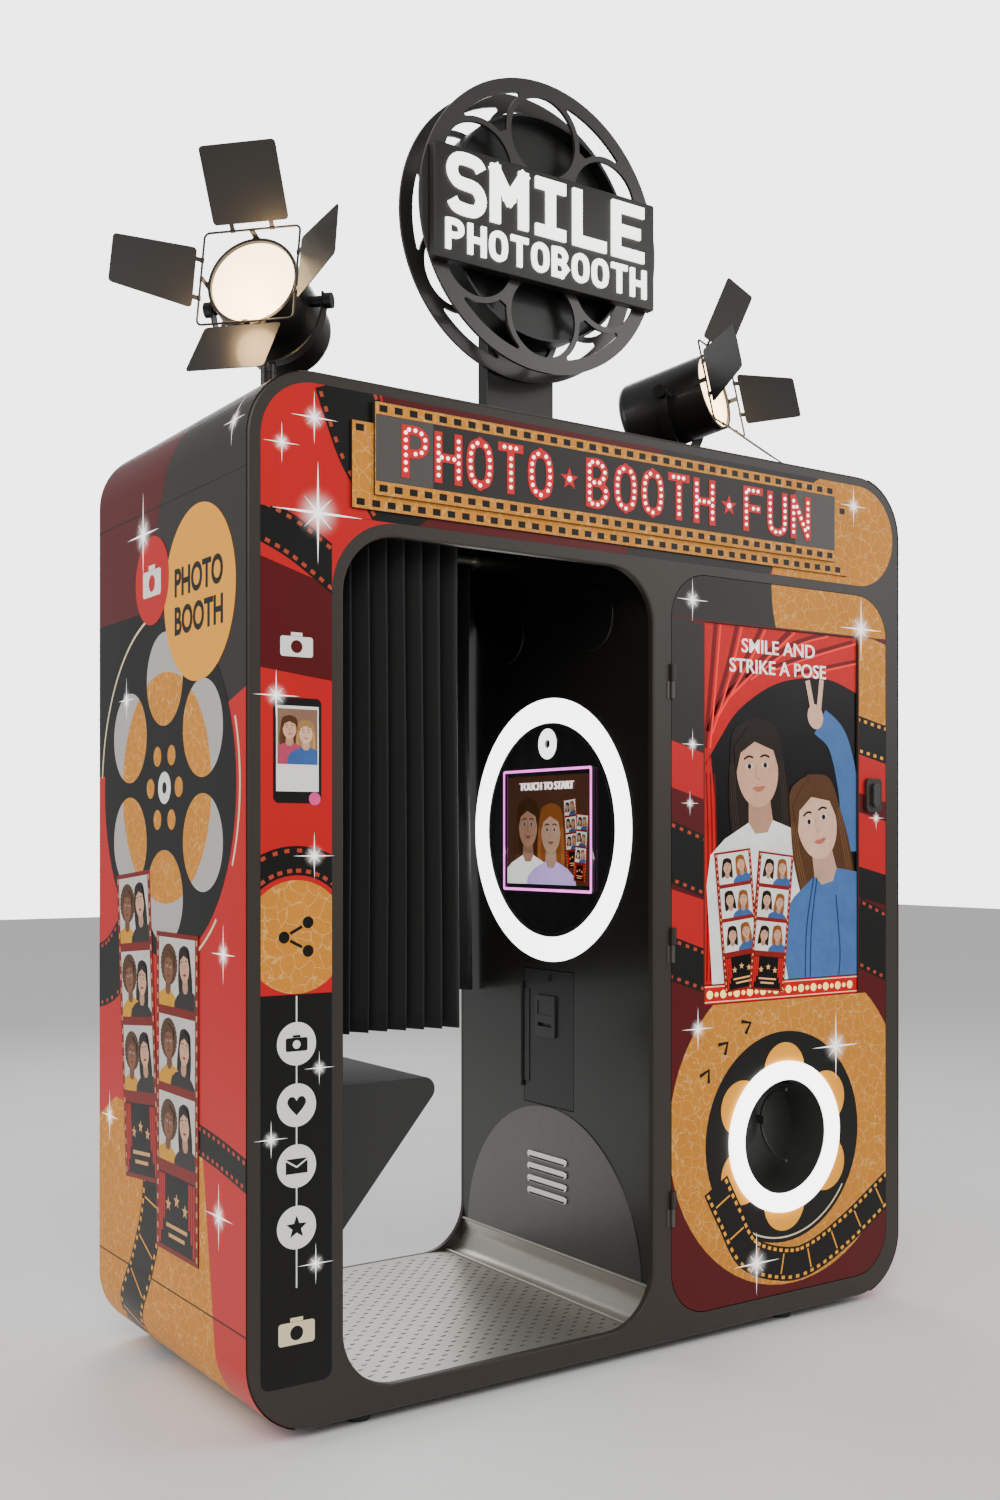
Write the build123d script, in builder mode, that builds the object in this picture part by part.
"""Walk-in photo booth: a rounded cabin with a doorway right through it, a technical tower with a
lit door on its right, a film-reel sign on the roof and two cinema lamps with barn doors.

Frame: X to the right seen from the front, Y to the back, Z up, millimetres. The origin is on the
ground under the middle of the cabin, on the underside of the centre foot.
"""

import os
from math import acos, atan, cos, degrees, radians, sin, sqrt

from build123d import *

os.makedirs("parts", exist_ok=True)

# Overall body
BODY_W = 1875.0
BODY_D = 826.0
BODY_H = 2120.0
CORNER_R = 150.0
SKIN = 3.0  # sheet of the wraps, side panels, lining, ceiling and floor
FASCIA_T = 16.0  # front and rear fascia plates
EDGE_R = 9.0  # rounded arris of the fascias
SEAM_GAP = 2.0
SEAM_DROP = 208.0  # height of the wrapped corner parts, top and bottom

# Feet and chassis
FOOT_H = 20.0
FOOT_PAD_R = 28.0
FOOT_PAD_T = 12.0
FOOT_STEM_R = 6.0
FOOT_STEM_UP = 36.0
FOOT_NUT_AF = 24.0
FOOT_BOSS_R = 13.0
FOOT_INSET_Y = 55.0
FOOT_LEFT_IN = 275.0
FOOT_RIGHT_IN = 385.0
CHASSIS_BAR_W = 40.0
CHASSIS_WALL = 3.0
STEM_CLEARANCE = 0.1
FLOOR_EDGE_GAP = 1.0

# Doorway through the cabin, measured from the body's left side and underside
PILLAR_W = 214.5
DOORWAY_W = 815.0
DOORWAY_SILL = 53.6
HEADER_H = 313.0
DOORWAY_R = 127.0
LINING_INSET = 33.0

# Tower door
DOOR_JAMB = 54.9
DOOR_SIDE = 51.4
DOOR_SILL = 52.8
DOOR_HEAD = 307.4
DOOR_R = 110.0
DOOR_GAP = 3.0
DOOR_T = 16.0
DOOR_EDGE_R = 5.0
DISPLAY_W = 528.0
DISPLAY_H = 918.0
DISPLAY_SILL = 784.0
DISPLAY_LAP = 16.0
DISPLAY_T = 45.0
DISPLAY_FRAME_T = 6.0

# Door hinges and lock
HINGE_R = 5.0
HINGE_PIN_R = 2.5
HINGE_CLEARANCE = 0.05
HINGE_KNUCKLE = 40.0
HINGE_COUNT = 3
HINGE_END_IN = 260.0
LOCK_W = 56.0
LOCK_H = 87.0
LOCK_T = 9.0
LOCK_RIGHT_IN = 105.0
LOCK_Z = 1316.0
HANDLE_R = 12.0
HANDLE_STEM_R = 6.0
HANDLE_T = 9.0
HANDLE_L = 62.0

# Print outlet in the door
OUTLET_Z = 463.5
OUTLET_R = 141.0
OUTLET_RING_R = 187.0
OUTLET_RING_T = 12.0
CUP_WALL = 3.0
CUP_DEPTH = 120.0
CUP_SLOT_W = 170.0
CUP_SLOT_D = 60.0
TRAY_T = 6.0
TRAY_R = 92.0
TRAY_SET = 16.0
TRAY_UP = 22.0
TRAY_OFF = 20.0

# Tower wall and what it carries, heights above the ground
WALL_T = 12.0
RING_Z = 1225.5
RING_OUT_R = 336.0
RING_IN_R = 273.0
RING_GROOVE = 8.0
RING_PROUD = 2.0
RING_SIDE_GAP = 0.4
CAMERA_Z = 1445.0
CAMERA_HOLE_R = 34.0
CAMERA_RIM_R = 41.0
CAMERA_BODY_W = 120.0
CAMERA_BODY_D = 90.0
SCREEN_W = 385.0
SCREEN_H = 316.0
SCREEN_Z = 1225.0
SCREEN_BEZEL = 9.0
SCREEN_PROUD = 8.0
SCREEN_T = 30.0
SPEAKER_OFF = 186.5
SPEAKER_Z = 1744.0
SPEAKER_R = 80.0
SPEAKER_HOLE_R = 70.0
SPEAKER_DEPTH = 60.0
SERVICE_W = 216.0
SERVICE_Z0 = 520.0
SERVICE_H = 349.0
SERVICE_GAP = 2.0
HATCH_HINGE_R = 4.0
HATCH_PIN_R = 1.8
HATCH_EAR_L = 14.0
HATCH_BARREL_L = 240.0
HATCH_LEAF_W = 30.0
HATCH_LOCK_R = 9.0
HATCH_LOCK_T = 5.0
HATCH_LOCK_DROP = 21.0
READER_W = 87.0
READER_H = 107.0
READER_Z = 749.5
READER_OFF = 9.0
READER_DEPTH = 110.0
KICK_R = 373.0
KICK_Z = 145.0
KICK_T = 2.0
LOUVRE_COUNT = 4
LOUVRE_W = 150.0
LOUVRE_H = 7.0
LOUVRE_PITCH = 31.7
LOUVRE_TOP_Z = 388.0
COVE_RUN = 58.0
COVE_TOP_Z = 160.0
COVE_BEAD_R = 4.0
CEILING_Z = 2020.0

# Bench
BENCH_TOP_Z = 683.0
BENCH_SPAN = 492.5  # from the lining to the sharp corner of the seat
BENCH_SLOPE = 1.176
BENCH_NOSE_R = 27.0
BENCH_SIDE_GAP = 90.0  # clear of each fascia
BENCH_WALL = 4.0

# Curtains
RAIL_Z = 1965.0
RAIL_R = 12.5
RAIL_FLANGE_R = 26.0
RAIL_FLANGE_T = 8.0
FRONT_RAIL_IN = 73.0  # centre of the rail behind the front face
REAR_RAIL_IN = 68.0
CURTAIN_T = 52.0
CURTAIN_DROP_Z = 787.0
FRONT_CURTAIN_W = 491.0
CURTAIN_GAP = 4.0

# Equipment in the tower
SHELF_Z = 640.0
SHELF_FRONT_IN = 215.0
PRINTER_W = 330.0
PRINTER_D = 360.0
PRINTER_H = 175.0
COMPUTER_W = 180.0
COMPUTER_D = 200.0
COMPUTER_H = 60.0
SUPPLY_W = 115.0
SUPPLY_D = 215.0
SUPPLY_H = 50.0

# Marquee on the header
MARQUEE_LEFT_IN = 280.0
MARQUEE_W = 1341.0
MARQUEE_Z = 2002.0
MARQUEE_H = 191.0
MARQUEE_BACK_OVER = 50.0  # the back panel is wider at each end and sits lower
MARQUEE_BACK_Z = 1964.5
MARQUEE_BACK_H = 178.0
MARQUEE_T = 6.0  # each of the two panels

# Reel sign on the roof
REEL_R = 356.0
REEL_Z = 2707.0
REEL_FRONT_IN = 307.0
REEL_GAP = 98.0  # outside to outside over the two flanges
REEL_FLANGE_T = 8.0
REEL_CORE_R = 275.0
REEL_CORE_T = 6.0
REEL_HOLE_RING = 221.0
REEL_HOLE_R = 97.0
REEL_WEB = 14.0
REEL_WINDOW_CORNER_R = 5.0
REEL_WINDOW_IN_R = 240.0
REEL_HOLES = 6
REEL_RIM = 34.0
REEL_HUB_R = 28.0
POST_W = 204.0
POST_T = 41.0
POST_TOP_OVER = 60.0
POST_BASE_T = 10.0
POST_BASE_MARGIN = 40.0
SIGN_W = 664.0
SIGN_H = 271.0
SIGN_T = 22.0
SIGN_GAP = 4.0
SIGN_DROP = 13.0

# Cinema lamps
LAMP_PIVOT_Z = 2382.0
LAMP_TILT = 12.0
LAMP_R = 102.0
LAMP_L = 246.0
LAMP_WALL = 3.0
LAMP_FRONT = 97.0  # pivot to the front rim
LAMP_BACK_EDGE_R = 22.0
LENS_R = 95.0
LENS_T = 8.0
LENS_SET = 6.0
LENS_LIP = 5.0
YOKE_R = 128.0
YOKE_T = 4.0
YOKE_W = 31.0
PIVOT_R = 6.0
PIVOT_CLEARANCE = 0.05
KNOB_R = 17.0
KNOB_T = 16.0
LAMP_BASE_R = 62.0
LAMP_BASE_T = 8.0
SPIGOT_R = 17.0
LEAF_FRAME = 218.0
WIRE_R = 2.5
WIRE_CORNER_R = 12.0
FRAME_STANDOFF = 22.0
LEAF_T = 2.0
LEAF_GAP = 14.0
WIDE_LEAF_W = 171.0
WIDE_LEAF_L = 159.0
SIDE_LEAF_W = 143.0
SIDE_LEAF_TIP_W = 112.0
SIDE_LEAF_L = 177.0
LEAF_CORNER_R = 9.0
KNUCKLE_L = 10.0
KNUCKLE_SPREAD = 45.0
KNUCKLE_WALL = 1.4
LAMPS = {
    "lamp_left": {"x": -726.0, "y": -70.0, "aim": 223.2, "leaves": (44.0, 27.6, 45.6, 34.4)},
    "lamp_right": {"x": 536.0, "y": -6.0, "aim": -65.0, "leaves": (38.0, 40.0, 39.0, 48.5)},
}

# Places worked out from the sizes above
LEFT = -BODY_W / 2
RIGHT = BODY_W / 2
FRONT = -BODY_D / 2
REAR = BODY_D / 2
BOTTOM = FOOT_H
TOP = FOOT_H + BODY_H
INNER_D = BODY_D - 2 * FASCIA_T
DOORWAY_X0 = LEFT + PILLAR_W
DOORWAY_X1 = DOORWAY_X0 + DOORWAY_W
DOORWAY_Z0 = BOTTOM + DOORWAY_SILL
DOORWAY_Z1 = TOP - HEADER_H
DOOR_X0 = DOORWAY_X1 + DOOR_JAMB
DOOR_X1 = RIGHT - DOOR_SIDE
DOOR_Z0 = BOTTOM + DOOR_SILL
DOOR_Z1 = TOP - DOOR_HEAD
DOOR_MID_X = (DOOR_X0 + DOOR_X1) / 2
WALL_X = DOORWAY_X1
LINING_X = LEFT + SKIN + LINING_INSET
FLOOR_Z = DOORWAY_Z0
FEET_XY = [
    (x, y)
    for x in (LEFT + FOOT_LEFT_IN, RIGHT - FOOT_RIGHT_IN)
    for y in (FRONT + FOOT_INSET_Y, REAR - FOOT_INSET_Y)
] + [(0.0, 0.0)]

FRONT_PLANE = Plane.XZ.offset(-FRONT)  # sketches seen from the front, extruded back by a negative amount


def rect_between(x0, x1, z0, z1):
    """Middle and size of a rectangle given by its edges."""
    return ((x0 + x1) / 2, (z0 + z1) / 2), (x1 - x0, z1 - z0)


def body_outline(inset):
    """The booth's rounded front outline, drawn in by inset."""
    middle, size = rect_between(LEFT + inset, RIGHT - inset, BOTTOM + inset, TOP - inset)
    with BuildSketch() as outline:
        with Locations(middle):
            RectangleRounded(*size, CORNER_R - inset)
    return outline.sketch


def save(part, name):
    """Label one finished piece and write it."""
    part.label = name
    export_step(part, f"parts/{name}.step")


# ---------------------------------------------------------------- shell
def wrap(z0, z1):
    """Sheet bent round two body corners, between two heights."""
    with BuildPart() as sheet:
        with BuildSketch(Plane.XZ.offset(INNER_D / 2)):
            add(body_outline(0))
            add(body_outline(SKIN), mode=Mode.SUBTRACT)
            middle, size = rect_between(LEFT - 1, RIGHT + 1, z0, z1)
            with Locations(middle):
                Rectangle(*size, mode=Mode.INTERSECT)
        extrude(amount=-INNER_D)
    return sheet


base_pan = wrap(BOTTOM - 1, BOTTOM + SEAM_DROP)
with base_pan:
    with Locations(*[(x, y, BOTTOM) for x, y in FEET_XY]):
        Hole(FOOT_STEM_R + STEM_CLEARANCE, depth=2 * SKIN)
save(base_pan.part, "base_pan")

roof_cap = wrap(TOP - SEAM_DROP, TOP + 1)
save(roof_cap.part, "roof_cap")

for side, x in (("left", LEFT + SKIN / 2), ("right", RIGHT - SKIN / 2)):
    with BuildPart(Plane.XY.offset(BOTTOM + SEAM_DROP + SEAM_GAP)) as side_panel:
        with Locations((x, 0)):
            Box(
                SKIN,
                INNER_D,
                BODY_H - 2 * SEAM_DROP - 2 * SEAM_GAP,
                align=(Align.CENTER, Align.CENTER, Align.MIN),
            )
    save(side_panel.part, f"side_panel_{side}")


def fascia(face, depth_sign, door_too):
    """Front or rear plate with the doorway, its outer arris rounded."""
    with BuildPart() as plate:
        with BuildSketch(Plane.XZ.offset(-face)):
            add(body_outline(0))
        extrude(amount=-depth_sign * FASCIA_T)
        outer = plate.faces().filter_by(Axis.Y).sort_by(Axis.Y)[0 if depth_sign > 0 else -1]
        fillet(outer.edges(), EDGE_R)
        with BuildSketch(Plane.XZ.offset(-face)):
            middle, size = rect_between(DOORWAY_X0, DOORWAY_X1, DOORWAY_Z0, DOORWAY_Z1)
            with Locations(middle):
                RectangleRounded(*size, DOORWAY_R)
            if door_too:
                middle, size = rect_between(DOOR_X0, DOOR_X1, DOOR_Z0, DOOR_Z1)
                with Locations(middle):
                    RectangleRounded(*size, DOOR_R)
        extrude(amount=-depth_sign * FASCIA_T, mode=Mode.SUBTRACT)
        rim = plate.edges().filter_by(lambda e: abs(e.center().Y - face) < 0.01)
        inside = [
            e
            for e in rim
            if DOORWAY_X0 - 1 < e.center().X < DOORWAY_X1 + 1
            and DOORWAY_Z0 - 1 < e.center().Z < DOORWAY_Z1 + 1
        ]
        fillet(inside, EDGE_R / 2)
    return plate


front_fascia = fascia(FRONT, 1, True)
save(front_fascia.part, "front_fascia")
rear_fascia = fascia(REAR, -1, False)
save(rear_fascia.part, "rear_fascia")

# ---------------------------------------------------------------- chassis, feet, floor
CHASSIS_H = FLOOR_Z - SKIN - (BOTTOM + SKIN)
CHASSIS_X0 = LEFT + CORNER_R + 5
CHASSIS_X1 = RIGHT - CORNER_R - 5


def chassis_plan(bar_w):
    """Runners and cross bars seen from above."""
    run_y = REAR - FOOT_INSET_Y
    length = CHASSIS_X1 - CHASSIS_X0
    with BuildSketch() as plan:
        with Locations(*[((CHASSIS_X0 + CHASSIS_X1) / 2, y) for y in (-run_y, 0, run_y)]):
            Rectangle(length - (CHASSIS_BAR_W - bar_w), bar_w)
        cross_xs = sorted({x for x, _ in FEET_XY})
        with Locations(*[(x, 0) for x in cross_xs]):
            Rectangle(bar_w, 2 * run_y + bar_w)
    return plan.sketch


with BuildPart() as chassis:
    with BuildSketch(Plane.XY.offset(BOTTOM + SKIN)):
        add(chassis_plan(CHASSIS_BAR_W))
    extrude(amount=CHASSIS_H)
    with BuildSketch(Plane.XY.offset(BOTTOM + SKIN)):
        add(chassis_plan(CHASSIS_BAR_W - 2 * CHASSIS_WALL))
    extrude(amount=CHASSIS_H - CHASSIS_WALL, mode=Mode.SUBTRACT)
    with BuildSketch(Plane.XY.offset(BOTTOM + SKIN)):
        with Locations(*FEET_XY):
            Circle(FOOT_BOSS_R)
    extrude(amount=CHASSIS_H - CHASSIS_WALL)
    with BuildSketch(Plane.XY.offset(BOTTOM + SKIN)):
        with Locations(*FEET_XY):
            Circle(FOOT_STEM_R + STEM_CLEARANCE)
    extrude(amount=CHASSIS_H - CHASSIS_WALL, mode=Mode.SUBTRACT)
save(chassis.part, "chassis")

with BuildPart() as levelling_feet:
    with Locations(*FEET_XY):
        Cylinder(FOOT_PAD_R, FOOT_PAD_T, align=(Align.CENTER, Align.CENTER, Align.MIN))
    tops = levelling_feet.faces().filter_by(Plane.XY).group_by(Axis.Z)[-1]
    fillet([e for f in tops for e in f.edges()], 4)
    with BuildSketch(Plane.XY.offset(FOOT_PAD_T)):
        with Locations(*FEET_XY):
            RegularPolygon(FOOT_NUT_AF / 2, 6, major_radius=False)
    extrude(amount=FOOT_H - FOOT_PAD_T)
    with BuildSketch(Plane.XY.offset(FOOT_PAD_T)):
        with Locations(*FEET_XY):
            Circle(FOOT_STEM_R)
    extrude(amount=FOOT_H - FOOT_PAD_T + FOOT_STEM_UP)
save(levelling_feet.part, "levelling_feet")

PAN_R = CORNER_R - SKIN
FLOOR_RISE = BOTTOM + CORNER_R - (FLOOR_Z - SKIN)
FLOOR_X0 = LEFT + CORNER_R - sqrt(PAN_R**2 - FLOOR_RISE**2) + FLOOR_EDGE_GAP
FLOOR_X1 = -FLOOR_X0
with BuildPart(Plane.XY.offset(FLOOR_Z - SKIN)) as floor_plate:
    with Locations(((FLOOR_X0 + FLOOR_X1) / 2, 0)):
        Box(FLOOR_X1 - FLOOR_X0, INNER_D, SKIN, align=(Align.CENTER, Align.CENTER, Align.MIN))
save(floor_plate.part, "floor_plate")

LINING_Z0 = BOTTOM + CORNER_R
with BuildPart(Plane.XY.offset(LINING_Z0)) as cabin_lining:
    with Locations((LINING_X - SKIN / 2, 0)):
        Box(SKIN, INNER_D, CEILING_Z + SKIN - LINING_Z0, align=(Align.CENTER, Align.CENTER, Align.MIN))
save(cabin_lining.part, "cabin_lining")

with BuildPart(Plane.XY.offset(CEILING_Z)) as cabin_ceiling:
    with Locations(((LINING_X + WALL_X) / 2, 0)):
        Box(WALL_X - LINING_X, INNER_D, SKIN, align=(Align.CENTER, Align.CENTER, Align.MIN))
save(cabin_ceiling.part, "cabin_ceiling")

# ---------------------------------------------------------------- tower wall
# The wall is drawn looking along +X: local x is -Y, local y is Z.
WALL_PLANE = Plane(origin=(WALL_X, 0, 0), x_dir=(0, -1, 0), z_dir=(-1, 0, 0))
WALL_Z1 = CEILING_Z + SKIN
SERVICE_MID = (0, SERVICE_Z0 + SERVICE_H / 2)
SPEAKERS = [(-SPEAKER_OFF, SPEAKER_Z), (SPEAKER_OFF, SPEAKER_Z)]
LOUVRES = [(0, LOUVRE_TOP_Z - i * LOUVRE_PITCH) for i in range(LOUVRE_COUNT)]
HATCH_AXIS_X = WALL_X - HATCH_HINGE_R
HATCH_AXIS_Y = SERVICE_W / 2 + HATCH_HINGE_R
HATCH_BARREL_Z0 = SERVICE_Z0 + (SERVICE_H - HATCH_BARREL_L) / 2

with BuildPart() as tower_wall:
    with BuildSketch(WALL_PLANE):
        with Locations((0, (FLOOR_Z + WALL_Z1) / 2)):
            Rectangle(INNER_D, WALL_Z1 - FLOOR_Z)
        with Locations((0, CAMERA_Z)):
            Circle(CAMERA_HOLE_R, mode=Mode.SUBTRACT)
        with Locations(*SPEAKERS):
            Circle(SPEAKER_HOLE_R, mode=Mode.SUBTRACT)
        with Locations((0, SCREEN_Z)):
            Rectangle(SCREEN_W - 2 * SCREEN_BEZEL, SCREEN_H - 2 * SCREEN_BEZEL, mode=Mode.SUBTRACT)
        with Locations(SERVICE_MID):
            Rectangle(SERVICE_W, SERVICE_H, mode=Mode.SUBTRACT)
        with Locations(*LOUVRES):
            Rectangle(LOUVRE_W, LOUVRE_H, mode=Mode.SUBTRACT)
    extrude(amount=-WALL_T)
    with BuildSketch(WALL_PLANE):
        with Locations((0, RING_Z)):
            Circle(RING_OUT_R)
            Circle(RING_IN_R, mode=Mode.SUBTRACT)
    extrude(amount=-RING_GROOVE, mode=Mode.SUBTRACT)
    for ear_z in (HATCH_BARREL_Z0 - HATCH_EAR_L - 1, HATCH_BARREL_Z0 + HATCH_BARREL_L + 1):
        with BuildSketch(Plane.XY.offset(ear_z)):
            with Locations((HATCH_AXIS_X, HATCH_AXIS_Y)):
                Circle(HATCH_HINGE_R)
            with Locations((HATCH_AXIS_X + HATCH_HINGE_R / 2, HATCH_AXIS_Y)):
                Rectangle(HATCH_HINGE_R, 2 * HATCH_HINGE_R)
        extrude(amount=HATCH_EAR_L)
    with BuildSketch(Plane.XY.offset(HATCH_BARREL_Z0 - HATCH_EAR_L)):
        with Locations((HATCH_AXIS_X, HATCH_AXIS_Y)):
            Circle(HATCH_PIN_R)
    extrude(amount=HATCH_BARREL_L + 2 * HATCH_EAR_L)
save(tower_wall.part, "tower_wall")


with BuildPart() as ring_light:
    with BuildSketch(WALL_PLANE.offset(RING_PROUD)):
        with Locations((0, RING_Z)):
            Circle(RING_OUT_R - RING_SIDE_GAP)
            Circle(RING_IN_R + RING_SIDE_GAP, mode=Mode.SUBTRACT)
    extrude(amount=-(RING_PROUD + RING_GROOVE))
    fillet(ring_light.faces().filter_by(Axis.X).sort_by(Axis.X)[0].edges(), RING_PROUD * 0.75)
save(ring_light.part, "ring_light")

with BuildPart() as camera:
    with BuildSketch(WALL_PLANE.offset(3)):
        with Locations((0, CAMERA_Z)):
            Circle(CAMERA_RIM_R)
    extrude(amount=-3)
    with BuildSketch(WALL_PLANE):
        with Locations((0, CAMERA_Z)):
            Circle(CAMERA_HOLE_R - RING_SIDE_GAP)
    extrude(amount=-WALL_T)
    with BuildSketch(WALL_PLANE.offset(-WALL_T)):
        with Locations((0, CAMERA_Z)):
            RectangleRounded(CAMERA_BODY_W, CAMERA_BODY_D, 10)
    extrude(amount=-70)
    with BuildSketch(WALL_PLANE.offset(3)):
        with Locations((0, CAMERA_Z)):
            Circle(16)
    extrude(amount=-14, taper=20, mode=Mode.SUBTRACT)
save(camera.part, "camera")

with BuildPart() as screen_bezel:
    with BuildSketch(WALL_PLANE.offset(SCREEN_PROUD)):
        with Locations((0, SCREEN_Z)):
            RectangleRounded(SCREEN_W, SCREEN_H, 8)
            Rectangle(SCREEN_W - 2 * SCREEN_BEZEL, SCREEN_H - 2 * SCREEN_BEZEL, mode=Mode.SUBTRACT)
    extrude(amount=-SCREEN_PROUD)
    fillet(screen_bezel.faces().filter_by(Axis.X).sort_by(Axis.X)[0].edges(), 2)
save(screen_bezel.part, "screen_bezel")

with BuildPart() as touch_screen:
    with BuildSketch(WALL_PLANE.offset(SCREEN_PROUD / 2)):
        with Locations((0, SCREEN_Z)):
            Rectangle(
                SCREEN_W - 2 * SCREEN_BEZEL - 2 * RING_SIDE_GAP,
                SCREEN_H - 2 * SCREEN_BEZEL - 2 * RING_SIDE_GAP,
            )
    extrude(amount=-SCREEN_T)
    with BuildSketch(WALL_PLANE.offset(-WALL_T)):
        with Locations((0, SCREEN_Z)):
            Rectangle(SCREEN_W + 20, SCREEN_H + 20)
    extrude(amount=-SCREEN_T)
save(touch_screen.part, "touch_screen")

with BuildPart() as speaker_grilles:
    with BuildSketch(WALL_PLANE.offset(4)):
        with Locations(*SPEAKERS):
            Circle(SPEAKER_R)
    extrude(amount=-4)
    faces_out = speaker_grilles.faces().filter_by(Axis.X).group_by(Axis.X)[0]
    fillet([e for f in faces_out for e in f.edges()], 3)
save(speaker_grilles.part, "speaker_grilles")

with BuildPart() as speaker_drivers:
    with BuildSketch(WALL_PLANE.offset(-RING_SIDE_GAP)):
        with Locations(*SPEAKERS):
            Circle(SPEAKER_HOLE_R - RING_SIDE_GAP)
    extrude(amount=-WALL_T + RING_SIDE_GAP)
    with BuildSketch(WALL_PLANE.offset(-WALL_T)):
        with Locations(*SPEAKERS):
            Circle(SPEAKER_R)
    extrude(amount=-8)
    with BuildSketch(WALL_PLANE.offset(-WALL_T - 8)):
        with Locations(*SPEAKERS):
            Circle(SPEAKER_R * 0.8)
    extrude(amount=-SPEAKER_DEPTH, taper=18)
save(speaker_drivers.part, "speaker_drivers")

# ---------------------------------------------------------------- service hatch with the card reader
with BuildPart() as service_hatch:
    with BuildSketch(WALL_PLANE):
        with Locations(SERVICE_MID):
            Rectangle(SERVICE_W - 2 * SERVICE_GAP, SERVICE_H - 2 * SERVICE_GAP)
        with Locations((READER_OFF * -1, READER_Z)):
            Rectangle(READER_W, READER_H, mode=Mode.SUBTRACT)
    extrude(amount=-SKIN)
    with BuildSketch(Plane.XY.offset(HATCH_BARREL_Z0)):
        with Locations((HATCH_AXIS_X, HATCH_AXIS_Y)):
            Circle(HATCH_HINGE_R)
        with Locations((WALL_X - 1, HATCH_AXIS_Y - HATCH_LEAF_W / 2)):
            Rectangle(2, HATCH_LEAF_W)
        with Locations((HATCH_AXIS_X, HATCH_AXIS_Y)):
            Circle(HATCH_PIN_R + HINGE_CLEARANCE, mode=Mode.SUBTRACT)
    extrude(amount=HATCH_BARREL_L)
    with BuildSketch(WALL_PLANE.offset(HATCH_LOCK_T)):
        with Locations((0, SERVICE_Z0 + SERVICE_H - HATCH_LOCK_DROP)):
            Circle(HATCH_LOCK_R)
    extrude(amount=-HATCH_LOCK_T)
save(service_hatch.part, "service_hatch")

with BuildPart() as card_reader:
    with BuildSketch(WALL_PLANE.offset(6)):
        with Locations((-READER_OFF, READER_Z)):
            RectangleRounded(READER_W - 2, READER_H - 2, 4)
    extrude(amount=-6 - READER_DEPTH)
    with BuildSketch(WALL_PLANE.offset(6)):
        with Locations((-READER_OFF, READER_Z - 22)):
            Rectangle(60, 9)
    extrude(amount=-20, mode=Mode.SUBTRACT)
    with BuildSketch(WALL_PLANE.offset(6)):
        with Locations((-READER_OFF, READER_Z + 20)):
            Rectangle(62, 36)
    extrude(amount=-2, mode=Mode.SUBTRACT)
    with BuildSketch(WALL_PLANE.offset(-SKIN)):
        with Locations((-READER_OFF, READER_Z)):
            Rectangle(READER_W + 14, READER_H + 14)
    extrude(amount=-SKIN)
save(card_reader.part, "card_reader")

# ---------------------------------------------------------------- kick panel and floor cove
with BuildPart() as kick_panel:
    with BuildSketch(WALL_PLANE.offset(KICK_T)):
        with Locations((0, KICK_Z)):
            Circle(KICK_R)
        with Locations((0, COVE_TOP_Z + KICK_R)):
            Rectangle(2 * KICK_R, 2 * KICK_R, mode=Mode.INTERSECT)
        with Locations(*LOUVRES):
            Rectangle(LOUVRE_W, LOUVRE_H, mode=Mode.SUBTRACT)
    extrude(amount=-KICK_T)
save(kick_panel.part, "kick_panel")

COVE_RISE = COVE_TOP_Z - FLOOR_Z
with BuildPart() as floor_cove:
    with BuildSketch(Plane.XZ.offset(INNER_D / 2)):
        with BuildLine():
            Line((WALL_X, FLOOR_Z), (WALL_X - COVE_RUN, FLOOR_Z))
            Line((WALL_X - COVE_RUN, FLOOR_Z), (WALL_X - COVE_RUN, FLOOR_Z + 2))
            ThreePointArc(
                (WALL_X - COVE_RUN, FLOOR_Z + 2),
                (WALL_X - KICK_T - COVE_RUN * 0.27, FLOOR_Z + 2 + COVE_RUN * 0.27),
                (WALL_X - KICK_T, FLOOR_Z + COVE_RUN),
            )
            Line((WALL_X - KICK_T, FLOOR_Z + COVE_RUN), (WALL_X - KICK_T, COVE_TOP_Z))
            Line((WALL_X - KICK_T, COVE_TOP_Z), (WALL_X, COVE_TOP_Z))
            Line((WALL_X, COVE_TOP_Z), (WALL_X, FLOOR_Z))
        make_face()
        with Locations(
            (WALL_X - KICK_T, COVE_TOP_Z - COVE_BEAD_R), (WALL_X - COVE_RUN, FLOOR_Z + COVE_BEAD_R / 2)
        ):
            Circle(COVE_BEAD_R)
        middle, size = rect_between(WALL_X - 3 * COVE_RUN, WALL_X, FLOOR_Z, COVE_TOP_Z)
        with Locations(middle):
            Rectangle(*size, mode=Mode.INTERSECT)
    extrude(amount=-INNER_D)
save(floor_cove.part, "floor_cove")

# ---------------------------------------------------------------- bench
BENCH_L = BODY_D - 2 * FASCIA_T - 2 * BENCH_SIDE_GAP


def bench_outline(inset):
    """Seat, rounded nose and raked underside; the wall side stays open when inset."""
    lean = degrees(atan(BENCH_SLOPE))
    tip_x = LINING_X + BENCH_SPAN - inset / sin(radians(lean)) - inset / BENCH_SLOPE
    top_z = BENCH_TOP_Z - inset
    heel_z = top_z - (tip_x - LINING_X) * BENCH_SLOPE
    with BuildSketch() as outline:
        with BuildLine():
            FilletPolyline(
                (LINING_X, top_z),
                (tip_x, top_z),
                (LINING_X, heel_z),
                radius=BENCH_NOSE_R - inset,
            )
            Line((LINING_X, heel_z), (LINING_X, top_z))
        make_face()
    return outline.sketch


with BuildPart() as bench:
    with BuildSketch(Plane.XZ.offset(BENCH_L / 2)):
        add(bench_outline(0))
    extrude(amount=-BENCH_L)
    with BuildSketch(Plane.XZ.offset(BENCH_L / 2 - BENCH_WALL)):
        add(bench_outline(BENCH_WALL))
    extrude(amount=-(BENCH_L - 2 * BENCH_WALL), mode=Mode.SUBTRACT)
save(bench.part, "bench")

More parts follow.
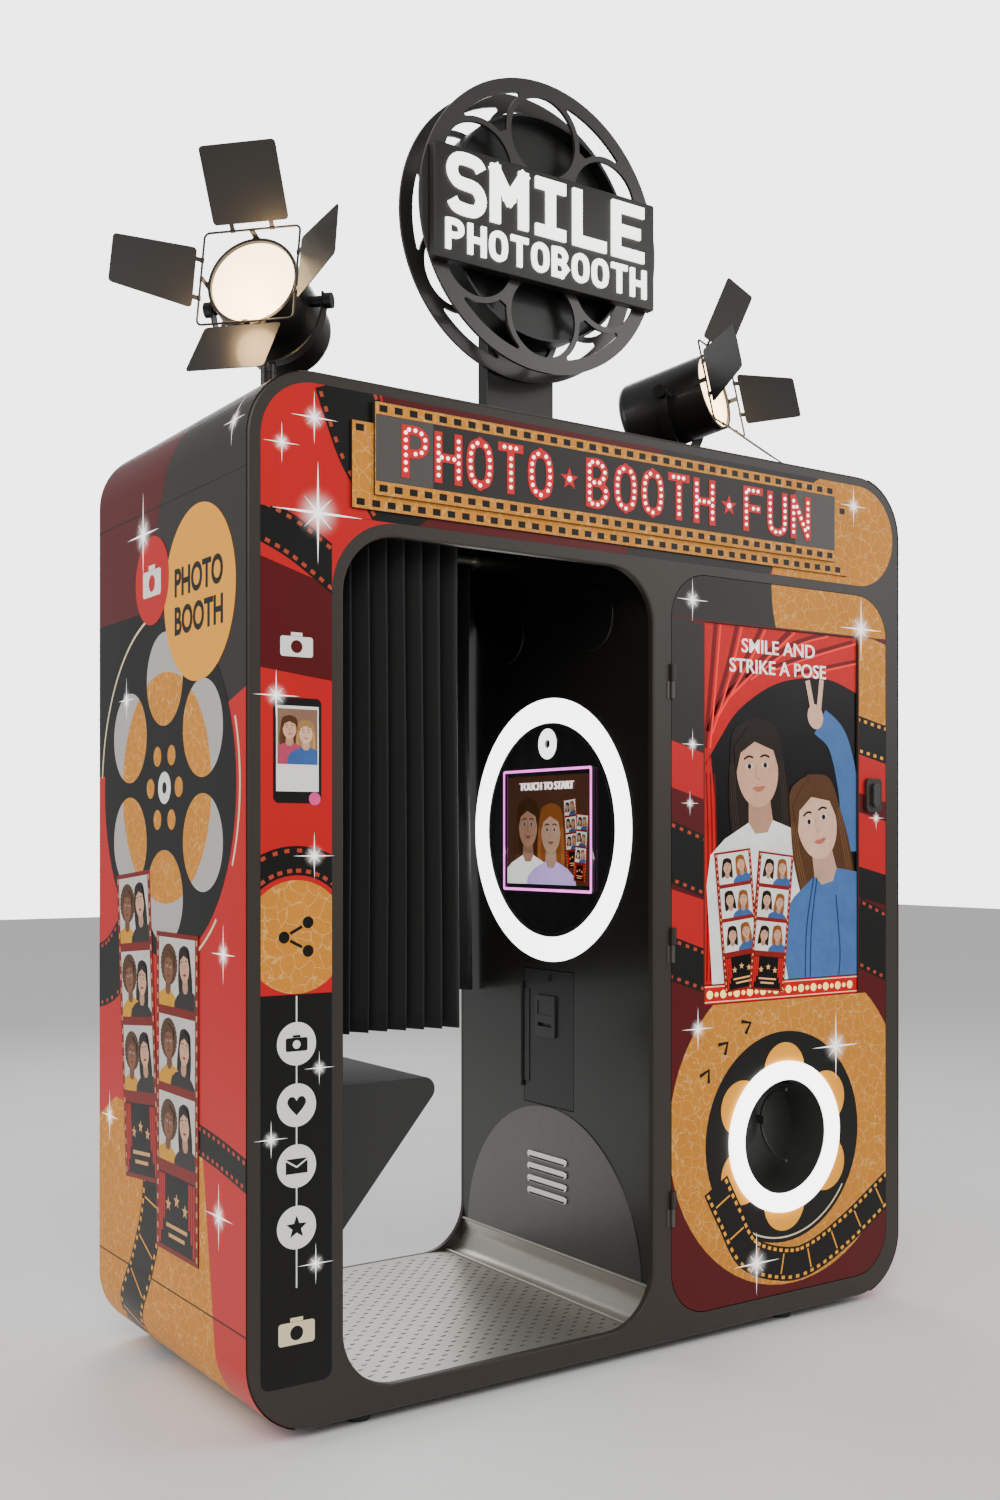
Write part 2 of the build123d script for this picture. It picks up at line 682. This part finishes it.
# ---------------------------------------------------------------- curtains
FRONT_RAIL_Y = FRONT + FRONT_RAIL_IN
REAR_RAIL_Y = REAR - REAR_RAIL_IN
RAIL_PLANE = Plane(origin=(LINING_X, 0, RAIL_Z), x_dir=(0, 1, 0), z_dir=(1, 0, 0))
with BuildPart() as curtain_rails:
    with BuildSketch(RAIL_PLANE):
        with Locations((FRONT_RAIL_Y, 0), (REAR_RAIL_Y, 0)):
            Circle(RAIL_R)
    extrude(amount=WALL_X - LINING_X)
    with BuildSketch(RAIL_PLANE, RAIL_PLANE.offset(WALL_X - LINING_X - RAIL_FLANGE_T)):
        with Locations((FRONT_RAIL_Y, 0), (REAR_RAIL_Y, 0)):
            Circle(RAIL_FLANGE_R)
    extrude(amount=RAIL_FLANGE_T)
save(curtain_rails.part, "curtain_rails")

CURTAIN_X0 = LINING_X + RAIL_FLANGE_T + 1
CURTAIN_H = RAIL_Z - RAIL_R - CURTAIN_GAP - CURTAIN_DROP_Z
REAR_CURTAIN_W = WALL_X - RAIL_FLANGE_T - 1 - CURTAIN_X0
for name, rail_y, width in (
    ("front_curtain", FRONT_RAIL_Y, FRONT_CURTAIN_W),
    ("rear_curtain", REAR_RAIL_Y, REAR_CURTAIN_W),
):
    with BuildPart(Plane.XY.offset(CURTAIN_DROP_Z)) as curtain:
        with Locations((CURTAIN_X0 + width / 2, rail_y)):
            Box(width, CURTAIN_T, CURTAIN_H, align=(Align.CENTER, Align.CENTER, Align.MIN))
        fillet(curtain.edges().filter_by(Axis.Z), CURTAIN_T / 2 - 1)
    save(curtain.part, name)

# ---------------------------------------------------------------- tower door
LOCK_X = RIGHT - LOCK_RIGHT_IN
HINGE_X = DOOR_X0 + DOOR_GAP / 2
HINGE_Y = FRONT - HINGE_R
HINGE_ZS = [
    DOOR_Z0 + HINGE_END_IN + i * (DOOR_Z1 - DOOR_Z0 - 2 * HINGE_END_IN) / (HINGE_COUNT - 1)
    for i in range(HINGE_COUNT)
]
HINGE_LEAF = 14.0

with BuildPart() as tower_door:
    with BuildSketch(FRONT_PLANE):
        middle, size = rect_between(
            DOOR_X0 + DOOR_GAP, DOOR_X1 - DOOR_GAP, DOOR_Z0 + DOOR_GAP, DOOR_Z1 - DOOR_GAP
        )
        with Locations(middle):
            RectangleRounded(*size, DOOR_R - DOOR_GAP)
    extrude(amount=-DOOR_T)
    fillet(tower_door.faces().filter_by(Axis.Y).sort_by(Axis.Y)[0].edges(), DOOR_EDGE_R)
    with BuildSketch(FRONT_PLANE):
        with Locations((DOOR_MID_X, DISPLAY_SILL + FOOT_H + DISPLAY_H / 2)):
            Rectangle(DISPLAY_W, DISPLAY_H)
        with Locations((DOOR_MID_X, OUTLET_Z)):
            Circle(OUTLET_R + CUP_WALL)
    extrude(amount=-DOOR_T, mode=Mode.SUBTRACT)
    for z in HINGE_ZS:
        with BuildSketch(Plane.XY.offset(z + DOOR_GAP / 4)):
            with Locations((HINGE_X, HINGE_Y)):
                Circle(HINGE_R)
            with Locations((HINGE_X + HINGE_LEAF / 2, HINGE_Y + HINGE_R - 1)):
                Rectangle(HINGE_LEAF, 2)
            with Locations((HINGE_X + HINGE_LEAF - 3, HINGE_Y + HINGE_R + 3)):
                Rectangle(6, 8)
            with Locations((HINGE_X, HINGE_Y)):
                Circle(HINGE_PIN_R + HINGE_CLEARANCE, mode=Mode.SUBTRACT)
        extrude(amount=HINGE_KNUCKLE)
    with BuildSketch(FRONT_PLANE.offset(LOCK_T)):
        with Locations((LOCK_X, LOCK_Z)):
            RectangleRounded(LOCK_W, LOCK_H, 12)
    extrude(amount=-LOCK_T)
    with BuildSketch(FRONT_PLANE.offset(LOCK_T)):
        with Locations((LOCK_X, LOCK_Z)):
            Circle(HANDLE_STEM_R + HINGE_CLEARANCE)
    extrude(amount=-(LOCK_T + DOOR_T), mode=Mode.SUBTRACT)
save(tower_door.part, "tower_door")

with BuildPart() as door_hinges:
    for z in HINGE_ZS:
        with BuildSketch(Plane.XY.offset(z - DOOR_GAP / 4)):
            with Locations((HINGE_X, HINGE_Y)):
                Circle(HINGE_R)
            with Locations((HINGE_X - HINGE_LEAF / 2, HINGE_Y + HINGE_R - 1)):
                Rectangle(HINGE_LEAF, 2)
        extrude(amount=-HINGE_KNUCKLE)
        with BuildSketch(Plane.XY.offset(z - DOOR_GAP)):
            with Locations((HINGE_X, HINGE_Y)):
                Circle(HINGE_PIN_R)
        extrude(amount=DOOR_GAP + HINGE_KNUCKLE)
save(door_hinges.part, "door_hinges")

with BuildPart() as display_panel:
    with BuildSketch(FRONT_PLANE.offset(-DOOR_T)):
        with Locations((DOOR_MID_X, DISPLAY_SILL + FOOT_H + DISPLAY_H / 2)):
            Rectangle(DISPLAY_W + 2 * DISPLAY_LAP, DISPLAY_H + 2 * DISPLAY_LAP)
    extrude(amount=-DISPLAY_T)
    with BuildSketch(FRONT_PLANE.offset(-DISPLAY_FRAME_T)):
        with Locations((DOOR_MID_X, DISPLAY_SILL + FOOT_H + DISPLAY_H / 2)):
            Rectangle(DISPLAY_W - 1, DISPLAY_H - 1)
    extrude(amount=-(DOOR_T - DISPLAY_FRAME_T))
save(display_panel.part, "display_panel")

with BuildPart() as door_handle:
    with BuildSketch(FRONT_PLANE.offset(-DOOR_T)):
        with Locations((LOCK_X, LOCK_Z)):
            Circle(HANDLE_STEM_R)
    extrude(amount=DOOR_T + LOCK_T + 2)
    with BuildSketch(FRONT_PLANE.offset(LOCK_T + 0.5)):
        with Locations((LOCK_X, LOCK_Z)):
            SlotOverall(HANDLE_L, 2 * HANDLE_R, rotation=90)
    extrude(amount=HANDLE_T)
    fillet(door_handle.faces().filter_by(Axis.Y).sort_by(Axis.Y)[0].edges(), 3)
    with BuildSketch(FRONT_PLANE.offset(-DOOR_T - 0.5)):
        with Locations((LOCK_X, LOCK_Z)):
            Circle(HANDLE_STEM_R + 4)
    extrude(amount=-3)
    with BuildSketch(FRONT_PLANE.offset(-DOOR_T)):
        with Locations((LOCK_X, LOCK_Z)):
            Circle(HANDLE_STEM_R)
    extrude(amount=-2)
save(door_handle.part, "door_handle")

# ---------------------------------------------------------------- print outlet
with BuildPart() as outlet_light:
    with BuildSketch(FRONT_PLANE.offset(OUTLET_RING_T)):
        with Locations((DOOR_MID_X, OUTLET_Z)):
            Circle(OUTLET_RING_R)
            Circle(OUTLET_R, mode=Mode.SUBTRACT)
    extrude(amount=-OUTLET_RING_T)
    fillet(outlet_light.faces().filter_by(Axis.Y).sort_by(Axis.Y)[0].edges(), 5)
save(outlet_light.part, "outlet_light")

with BuildPart() as outlet_cup:
    with BuildSketch(FRONT_PLANE):
        with Locations((DOOR_MID_X, OUTLET_Z)):
            Circle(OUTLET_R + CUP_WALL - 0.2)
    extrude(amount=-CUP_DEPTH)
    with BuildSketch(FRONT_PLANE):
        with Locations((DOOR_MID_X, OUTLET_Z)):
            Circle(OUTLET_R)
    extrude(amount=-(CUP_DEPTH - CUP_WALL), mode=Mode.SUBTRACT)
    with BuildSketch(Plane.XY.offset(OUTLET_Z + OUTLET_R / 2)):
        with Locations((DOOR_MID_X, FRONT + CUP_DEPTH - CUP_WALL - CUP_SLOT_D / 2)):
            Rectangle(CUP_SLOT_W, CUP_SLOT_D)
    extrude(amount=OUTLET_R, mode=Mode.SUBTRACT)
    with BuildSketch(Plane.YZ.offset(DOOR_MID_X + TRAY_OFF)):
        with Locations((FRONT + TRAY_SET, OUTLET_Z + TRAY_UP)):
            Circle(TRAY_R)
            Circle(TRAY_R - TRAY_T, mode=Mode.SUBTRACT)
        middle, size = rect_between(
            FRONT + TRAY_SET, FRONT + TRAY_SET + TRAY_R + 1, OUTLET_Z + TRAY_UP - TRAY_R, OUTLET_Z + TRAY_UP + TRAY_R
        )
        with Locations(middle):
            Rectangle(*size, mode=Mode.INTERSECT)
    extrude(amount=TRAY_T)
    with BuildSketch(Plane.YZ.offset(DOOR_MID_X + TRAY_OFF)):
        with Locations((FRONT + TRAY_SET + TRAY_R - 3, OUTLET_Z + TRAY_UP)):
            Rectangle(2 * (CUP_DEPTH - TRAY_SET - TRAY_R), 20)
    extrude(amount=TRAY_T)
save(outlet_cup.part, "outlet_cup")

# ---------------------------------------------------------------- equipment behind the door
SHELF_X0 = WALL_X + WALL_T
SHELF_X1 = RIGHT - SKIN
SHELF_Y0 = FRONT + SHELF_FRONT_IN
SHELF_Y1 = REAR - FASCIA_T
with BuildPart() as equipment_shelf:
    with BuildSketch(Plane.XY.offset(SHELF_Z - SKIN)):
        with Locations(((SHELF_X0 + SHELF_X1) / 2, (SHELF_Y0 + SHELF_Y1) / 2)):
            Rectangle(SHELF_X1 - SHELF_X0, SHELF_Y1 - SHELF_Y0)
    extrude(amount=SKIN)
    with BuildSketch(Plane.XY.offset(SHELF_Z - 30)):
        with Locations(
            (SHELF_X0 + SKIN / 2, (SHELF_Y0 + SHELF_Y1) / 2), (SHELF_X1 - SKIN / 2, (SHELF_Y0 + SHELF_Y1) / 2)
        ):
            Rectangle(SKIN, SHELF_Y1 - SHELF_Y0)
    extrude(amount=30)
save(equipment_shelf.part, "equipment_shelf")

PRINTER_Y = SHELF_Y0 + 20 + PRINTER_D / 2
with BuildPart() as printer:
    with BuildSketch(Plane.XY.offset(SHELF_Z)):
        with Locations((DOOR_MID_X, PRINTER_Y)):
            RectangleRounded(PRINTER_W, PRINTER_D, 15)
    extrude(amount=PRINTER_H)
    fillet(printer.faces().sort_by(Axis.Z)[-1].edges(), 8)
    with BuildSketch(Plane.XZ.offset(-(PRINTER_Y - PRINTER_D / 2))):
        with Locations((DOOR_MID_X, SHELF_Z + 70)):
            Rectangle(165, 10)
    extrude(amount=-60, mode=Mode.SUBTRACT)
save(printer.part, "printer")

CHUTE_W = CUP_SLOT_W - 20
CHUTE_Y0 = PRINTER_Y - PRINTER_D / 2 - 1
CHUTE_TIP_Y = FRONT + CUP_DEPTH - CUP_WALL - CUP_SLOT_D / 2
CHUTE_BEND_Y = CHUTE_TIP_Y + 45
CHUTE_Z = SHELF_Z + 62
CHUTE_TIP_Z = SHELF_Z
with BuildPart() as print_chute:
    with BuildSketch(Plane.YZ.offset(DOOR_MID_X - CHUTE_W / 2)):
        with BuildLine():
            Polyline(
                (CHUTE_Y0, CHUTE_Z),
                (CHUTE_BEND_Y, CHUTE_Z),
                (CHUTE_TIP_Y, CHUTE_TIP_Z),
                (CHUTE_TIP_Y, CHUTE_TIP_Z + 3),
                (CHUTE_BEND_Y - 1, CHUTE_Z + 2),
                (CHUTE_Y0, CHUTE_Z + 2),
                close=True,
            )
        make_face()
    extrude(amount=CHUTE_W)
    with BuildSketch(Plane.XY.offset(SHELF_Z)):
        with Locations((DOOR_MID_X, SHELF_Y0 + 8)):
            Rectangle(CHUTE_W, 10)
    extrude(amount=CHUTE_Z - SHELF_Z)
save(print_chute.part, "print_chute")

with BuildPart(Plane.XY.offset(FLOOR_Z)) as computer:
    with Locations((DOOR_MID_X - COMPUTER_W * 0.8, 0)):
        Box(COMPUTER_W, COMPUTER_D, COMPUTER_H, align=(Align.CENTER, Align.CENTER, Align.MIN))
    fillet(computer.edges().filter_by(Axis.Z), 10)
save(computer.part, "computer")

with BuildPart(Plane.XY.offset(FLOOR_Z)) as power_supply:
    with Locations((DOOR_MID_X + SUPPLY_W, 0)):
        Box(SUPPLY_W, SUPPLY_D, SUPPLY_H, align=(Align.CENTER, Align.CENTER, Align.MIN))
    chamfer(power_supply.faces().sort_by(Axis.Z)[-1].edges(), 2)
save(power_supply.part, "power_supply")

# ---------------------------------------------------------------- marquee on the header
MARQUEE_X = LEFT + MARQUEE_LEFT_IN + MARQUEE_W / 2
with BuildPart() as marquee:
    with BuildSketch(FRONT_PLANE.offset(MARQUEE_T)):
        with Locations((MARQUEE_X, MARQUEE_BACK_Z)):
            Rectangle(MARQUEE_W + 2 * MARQUEE_BACK_OVER, MARQUEE_BACK_H)
        with Locations((MARQUEE_X, MARQUEE_Z)):
            Rectangle(MARQUEE_W, MARQUEE_H)
    extrude(amount=-MARQUEE_T)
    with BuildSketch(FRONT_PLANE.offset(2 * MARQUEE_T)):
        with Locations((MARQUEE_X, MARQUEE_Z)):
            Rectangle(MARQUEE_W, MARQUEE_H)
    extrude(amount=-MARQUEE_T)
save(marquee.part, "marquee")

# ---------------------------------------------------------------- reel sign
REEL_Y0 = FRONT + REEL_FRONT_IN
REEL_Y1 = REEL_Y0 + REEL_GAP


def reel_flange_outline():
    """Round flange with six holes and six windows between their rings and the rim."""
    with BuildSketch() as outline:
        Circle(REEL_R - REEL_RIM)
        with PolarLocations(REEL_HOLE_RING, REEL_HOLES, start_angle=90):
            Circle(REEL_HOLE_R + REEL_WEB, mode=Mode.SUBTRACT)
        Circle(REEL_WINDOW_IN_R, mode=Mode.SUBTRACT)
        fillet(outline.vertices(), REEL_WINDOW_CORNER_R)
    with BuildSketch() as flange:
        Circle(REEL_R)
        add(outline.sketch, mode=Mode.SUBTRACT)
        with PolarLocations(REEL_HOLE_RING, REEL_HOLES, start_angle=90):
            Circle(REEL_HOLE_R, mode=Mode.SUBTRACT)
        Circle(REEL_HUB_R / 2, mode=Mode.SUBTRACT)
    return flange.sketch


with BuildPart() as reel_flanges:
    with BuildSketch(Plane(origin=(0, REEL_Y0, REEL_Z), x_dir=(1, 0, 0), z_dir=(0, -1, 0))):
        add(reel_flange_outline())
    extrude(amount=-REEL_FLANGE_T)
    with BuildSketch(Plane(origin=(0, REEL_Y1, REEL_Z), x_dir=(1, 0, 0), z_dir=(0, -1, 0))):
        add(reel_flange_outline())
    extrude(amount=REEL_FLANGE_T)
save(reel_flanges.part, "reel_flanges")

REEL_CORE_PLANE = Plane(origin=(0, REEL_Y0 + REEL_FLANGE_T, REEL_Z), x_dir=(1, 0, 0), z_dir=(0, -1, 0))
CORE_L = REEL_GAP - 2 * REEL_FLANGE_T
with BuildPart() as reel_core:
    with BuildSketch(REEL_CORE_PLANE):
        Circle(REEL_CORE_R)
        Circle(REEL_CORE_R - REEL_CORE_T, mode=Mode.SUBTRACT)
    extrude(amount=-CORE_L)
    with BuildSketch(REEL_CORE_PLANE.offset(-(CORE_L - REEL_CORE_T) / 2)):
        Circle(REEL_CORE_R)
    extrude(amount=-REEL_CORE_T)
    with BuildSketch(REEL_CORE_PLANE):
        Circle(REEL_HUB_R)
    extrude(amount=-CORE_L)
save(reel_core.part, "reel_core")

POST_Y0 = REEL_Y1
with BuildPart() as reel_post:
    with BuildSketch(Plane.XY.offset(TOP)):
        with Locations((0, POST_Y0 + POST_T / 2)):
            RectangleRounded(POST_W + 2 * POST_BASE_MARGIN, POST_T + 2 * POST_BASE_MARGIN, 12)
    extrude(amount=POST_BASE_T)
    with BuildSketch(Plane.XY.offset(TOP)):
        with Locations((0, POST_Y0 + POST_T / 2)):
            Rectangle(POST_W, POST_T)
    extrude(amount=REEL_Z + POST_TOP_OVER - TOP)
    fillet(reel_post.edges().filter_by(Axis.Z).filter_by_position(Axis.X, -POST_W / 2 - 1, POST_W / 2 + 1), 3)
save(reel_post.part, "reel_post")

SIGN_Y1 = REEL_Y0 - SIGN_GAP
with BuildPart() as sign_box:
    with BuildSketch(Plane.XZ.offset(-SIGN_Y1)):
        with Locations((0, REEL_Z - SIGN_DROP)):
            RectangleRounded(SIGN_W, SIGN_H, 6)
    extrude(amount=SIGN_T)
    chamfer(sign_box.faces().filter_by(Axis.Y).sort_by(Axis.Y)[0].edges(), 2)
    with BuildSketch(Plane.XZ.offset(-SIGN_Y1)):
        with Locations((0, REEL_Z)):
            Circle(REEL_HUB_R)
    extrude(amount=-SIGN_GAP)
save(sign_box.part, "sign_box")

# ---------------------------------------------------------------- cinema lamps
FRAME_SETBACK = LAMP_FRONT + FRAME_STANDOFF  # pivot to the wire frame
WIRE_HALF = LEAF_FRAME / 2
PAD_HALF = LAMP_R + 2.0
LEAF_SIDES = ("top", "bottom", "right", "left")
LEAF_DIRS = {"top": (0, 1), "bottom": (0, -1), "right": (1, 0), "left": (-1, 0)}


def lamp_planes(spec):
    """Aim plane at the pivot (z_dir along the beam) and the level plane under it."""
    aim = radians(spec["aim"])
    tilt = radians(LAMP_TILT)
    beam = Vector(cos(tilt) * cos(aim), cos(tilt) * sin(aim), sin(tilt))
    across = Vector(-sin(aim), cos(aim), 0)
    pivot = Vector(spec["x"], spec["y"], LAMP_PIVOT_Z)
    aimed = Plane(origin=pivot, x_dir=across, z_dir=beam)
    upright = Plane(origin=pivot, x_dir=across, z_dir=Vector(cos(aim), sin(aim), 0))
    return aimed, upright


def make_lamp(name, spec):
    """One lamp: base, yoke, housing, lens, wire frame and four leaves."""
    aimed, upright = lamp_planes(spec)
    spot = (spec["x"], spec["y"])
    yoke_low = LAMP_PIVOT_Z - YOKE_R - YOKE_T

    with BuildPart() as base:
        with BuildSketch(Plane.XY.offset(TOP)):
            with Locations(spot):
                Circle(LAMP_BASE_R)
        extrude(amount=LAMP_BASE_T)
        with BuildSketch(Plane.XY.offset(TOP)):
            with Locations(spot):
                Circle(SPIGOT_R)
        extrude(amount=yoke_low - TOP - 20)
        with BuildSketch(Plane.XY.offset(TOP)):
            with Locations(spot):
                Circle(PIVOT_R)
        extrude(amount=yoke_low - TOP - 2)
    save(base.part, f"{name}_base")

    with BuildPart() as yoke:
        with BuildSketch(upright.offset(-YOKE_W / 2)):
            Circle(YOKE_R + YOKE_T)
            Circle(YOKE_R, mode=Mode.SUBTRACT)
            with Locations((0, (YOKE_R + YOKE_T))):
                Rectangle(4 * YOKE_R, 2 * (YOKE_R + YOKE_T), mode=Mode.SUBTRACT)
            with Locations((YOKE_R + YOKE_T / 2, KNOB_R / 2), (-YOKE_R - YOKE_T / 2, KNOB_R / 2)):
                Rectangle(YOKE_T, KNOB_R)
        extrude(amount=YOKE_W)
        with BuildSketch(Plane.XY.offset(yoke_low + 1)):
            with Locations(spot):
                Circle(SPIGOT_R)
        extrude(amount=-20)
        with BuildSketch(Plane.XY.offset(yoke_low - 20)):
            with Locations(spot):
                Circle(PIVOT_R + PIVOT_CLEARANCE)
        extrude(amount=19, mode=Mode.SUBTRACT)
        across = Plane(origin=upright.origin, x_dir=upright.z_dir, z_dir=upright.x_dir)
        with BuildSketch(across.offset(-2 * YOKE_R)):
            Circle(PIVOT_R + PIVOT_CLEARANCE)
        extrude(amount=4 * YOKE_R, mode=Mode.SUBTRACT)
    save(yoke.part, f"{name}_yoke")

    with BuildPart() as housing:
        with BuildSketch(aimed.offset(LAMP_FRONT)):
            Circle(LAMP_R)
        extrude(amount=-LAMP_L)
        ends = housing.faces().sort_by(Axis(aimed.origin, aimed.z_dir))
        fillet(ends[0].edges(), LAMP_BACK_EDGE_R)
        offset(amount=-LAMP_WALL, openings=housing.faces().sort_by(Axis(aimed.origin, aimed.z_dir))[-1])
        with BuildSketch(aimed.offset(LAMP_FRONT)):
            Circle(LAMP_R - 1)
            Circle(LENS_R + RING_SIDE_GAP, mode=Mode.SUBTRACT)
        extrude(amount=-(LENS_SET + LENS_T))
        with BuildSketch(aimed.offset(LAMP_FRONT - LENS_SET - LENS_T)):
            Circle(LAMP_R - 1)
            Circle(LENS_R - LENS_LIP, mode=Mode.SUBTRACT)
        extrude(amount=-LAMP_WALL)
        for x, y in LEAF_DIRS.values():
            with BuildSketch(aimed.offset(LAMP_FRONT)):
                with Locations((x * (PAD_HALF - 3), y * (PAD_HALF - 3))):
                    Rectangle(6 if x else 16, 6 if y else 16)
            extrude(amount=-16)
        across = Plane(origin=aimed.origin, x_dir=aimed.z_dir, z_dir=aimed.x_dir)
        for sign in (-1, 1):
            with BuildSketch(across.offset(sign * (LAMP_R - 2))):
                Circle(PIVOT_R * 2)
            extrude(amount=sign * (YOKE_R - LAMP_R))
            with BuildSketch(across.offset(sign * (LAMP_R - 2))):
                Circle(PIVOT_R)
            extrude(amount=sign * (YOKE_R - LAMP_R + 2 + YOKE_T + 1))
            with BuildSketch(across.offset(sign * (YOKE_R + YOKE_T + 0.5))):
                Circle(KNOB_R)
            extrude(amount=sign * KNOB_T)
    save(housing.part, f"{name}_housing")

    with BuildPart() as lens:
        with BuildSketch(aimed.offset(LAMP_FRONT - LENS_SET)):
            Circle(LENS_R)
        extrude(amount=-LENS_T)
        fillet(lens.faces().sort_by(Axis(aimed.origin, aimed.z_dir))[-1].edges(), 3)
    save(lens.part, f"{name}_lens")

    frame_plane = aimed.offset(FRAME_SETBACK)
    with BuildPart() as wire:
        with BuildLine(frame_plane) as half_loop:
            FilletPolyline(
                (0, WIRE_HALF), (WIRE_HALF, WIRE_HALF), (WIRE_HALF, -WIRE_HALF), (0, -WIRE_HALF), radius=WIRE_CORNER_R
            )
        loop = half_loop.wire()
        with BuildSketch(Plane(origin=loop @ 0, z_dir=loop % 0)):
            Circle(WIRE_R)
        sweep(path=loop)
        mirror(about=Plane(origin=frame_plane.origin, z_dir=frame_plane.x_dir))
        for x, y in LEAF_DIRS.values():
            mid = (PAD_HALF + WIRE_HALF + WIRE_R) / 2
            deep = WIRE_HALF + WIRE_R - PAD_HALF
            with BuildSketch(aimed.offset(FRAME_SETBACK - WIRE_R / 2)):
                with Locations((x * mid, y * mid)):
                    Rectangle(deep if x else 12, deep if y else 12)
            extrude(amount=WIRE_R)
            with BuildSketch(aimed.offset(LAMP_FRONT - 12)):
                with Locations((x * (PAD_HALF + 1), y * (PAD_HALF + 1))):
                    Rectangle(2 if x else 12, 2 if y else 12)
            extrude(amount=FRAME_STANDOFF + 12)
    save(wire.part, f"{name}_leaf_frame")

    for side, angle in zip(LEAF_SIDES, spec["leaves"]):
        dx, dy = LEAF_DIRS[side]
        out = frame_plane.x_dir * dx + frame_plane.y_dir * dy
        along = frame_plane.x_dir * -dy + frame_plane.y_dir * dx
        lift = radians(angle)
        reach = out * cos(lift) + frame_plane.z_dir * sin(lift)
        hinge_at = frame_plane.origin + out * WIRE_HALF
        leaf_plane = Plane(origin=hinge_at, x_dir=along, z_dir=along.cross(reach))
        wide = side in ("top", "bottom")
        root_w, tip_w, length = (
            (WIDE_LEAF_W, WIDE_LEAF_W, WIDE_LEAF_L) if wide else (SIDE_LEAF_W, SIDE_LEAF_TIP_W, SIDE_LEAF_L)
        )
        with BuildPart() as leaf:
            with BuildSketch(leaf_plane.offset(-LEAF_T / 2)) as plate:
                with BuildLine():
                    Polyline(
                        (-root_w / 2, LEAF_GAP),
                        (root_w / 2, LEAF_GAP),
                        (tip_w / 2, LEAF_GAP + length),
                        (-tip_w / 2, LEAF_GAP + length),
                        close=True,
                    )
                make_face()
                fillet(plate.vertices(), LEAF_CORNER_R)
                with Locations((-KNUCKLE_SPREAD, LEAF_GAP / 2 + 2), (KNUCKLE_SPREAD, LEAF_GAP / 2 + 2)):
                    Rectangle(KNUCKLE_L, LEAF_GAP)
            extrude(amount=LEAF_T)
            for offset_x in (-KNUCKLE_SPREAD, KNUCKLE_SPREAD):
                knuckle = Plane(
                    origin=hinge_at + along * (offset_x - KNUCKLE_L / 2), x_dir=reach, z_dir=along
                )
                with BuildSketch(knuckle):
                    Circle(WIRE_R + PIVOT_CLEARANCE + KNUCKLE_WALL)
                extrude(amount=KNUCKLE_L)
                with BuildSketch(knuckle.offset(-1)):
                    Circle(WIRE_R + PIVOT_CLEARANCE)
                extrude(amount=KNUCKLE_L + 2, mode=Mode.SUBTRACT)
        save(leaf.part, f"{name}_{side}_leaf")


for lamp_name, lamp_spec in LAMPS.items():
    make_lamp(lamp_name, lamp_spec)
